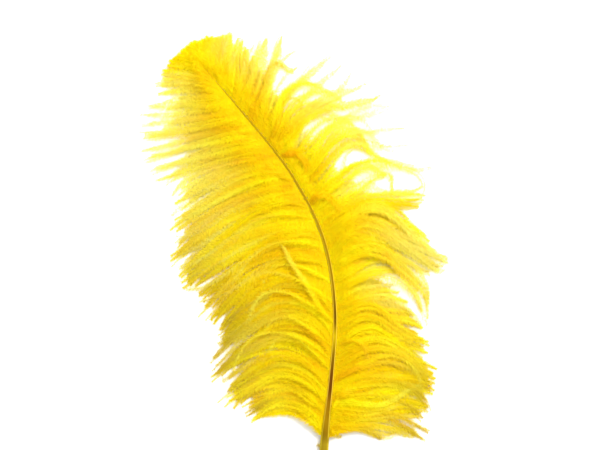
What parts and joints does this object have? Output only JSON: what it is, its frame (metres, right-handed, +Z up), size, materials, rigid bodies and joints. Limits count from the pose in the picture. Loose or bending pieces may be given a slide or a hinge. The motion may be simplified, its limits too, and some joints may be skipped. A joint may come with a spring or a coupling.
{
  "type": "ostrich feather",
  "caption": "Dyed ostrich plume lying flat: a bent, grooved quill with a wide, soft vane of drooping, curled barbs on each side.",
  "frame": {"origin": "middle of the plume's footprint, on the surface that it lies on", "axes": "+Y along the plume's length towards its tip, +X to the right seen from above, +Z up"},
  "size_m": [0.1822, 0.273, 0.0095],
  "materials": {
    "quill": "satin",
    "barbs": "matte"
  },
  "bodies": {
    "root": {"shaft": "quill", "left_vane": "barbs", "right_vane": "barbs"}
  },
  "joints": []
}
